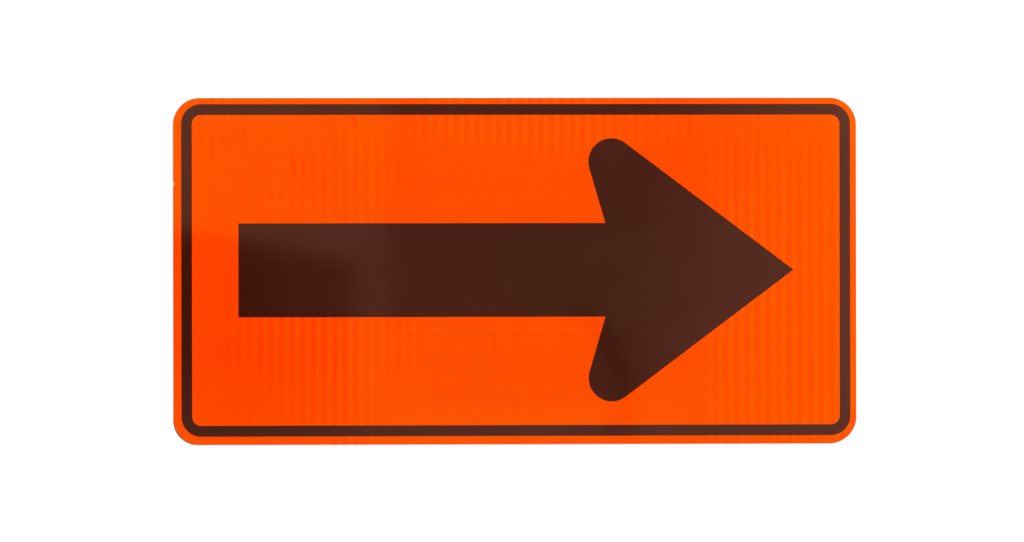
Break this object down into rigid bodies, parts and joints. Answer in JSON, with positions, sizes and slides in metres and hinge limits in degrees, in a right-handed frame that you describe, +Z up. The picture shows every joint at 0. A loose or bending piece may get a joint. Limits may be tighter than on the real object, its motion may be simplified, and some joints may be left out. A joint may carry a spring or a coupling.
{
  "type": "large arrow sign panel",
  "caption": "Flat rectangular road sign with rounded corners: a large right-pointing arrow inside a border, dark film on orange reflective sheeting over an aluminium sheet.",
  "frame": {"origin": "centre of the aluminium blank's flat back face", "axes": "+X to the reader's right, the way the arrow points; +Z up; +Y out of the back, so the sign is read from -Y"},
  "size_m": [1.2192, 0.0025, 0.6096],
  "materials": {
    "mill_aluminium": "mill finish, fine rolling grain",
    "clear_adhesive": "clear acrylic adhesive",
    "white_seal_film": "matt white film",
    "orange_prismatic_film": "smooth gloss over moulded prisms, faint diamond cells and upright bands",
    "dark_legend_film": "smooth semi-gloss film, near black with a warm brown cast"
  },
  "bodies": {
    "root": {"aluminium_blank": "mill_aluminium", "sheeting_adhesive": "clear_adhesive", "seal_film": "white_seal_film", "prism_film": "orange_prismatic_film", "border_adhesive": "clear_adhesive", "border_film": "dark_legend_film", "arrow_adhesive": "clear_adhesive", "arrow_film": "dark_legend_film"}
  },
  "joints": []
}
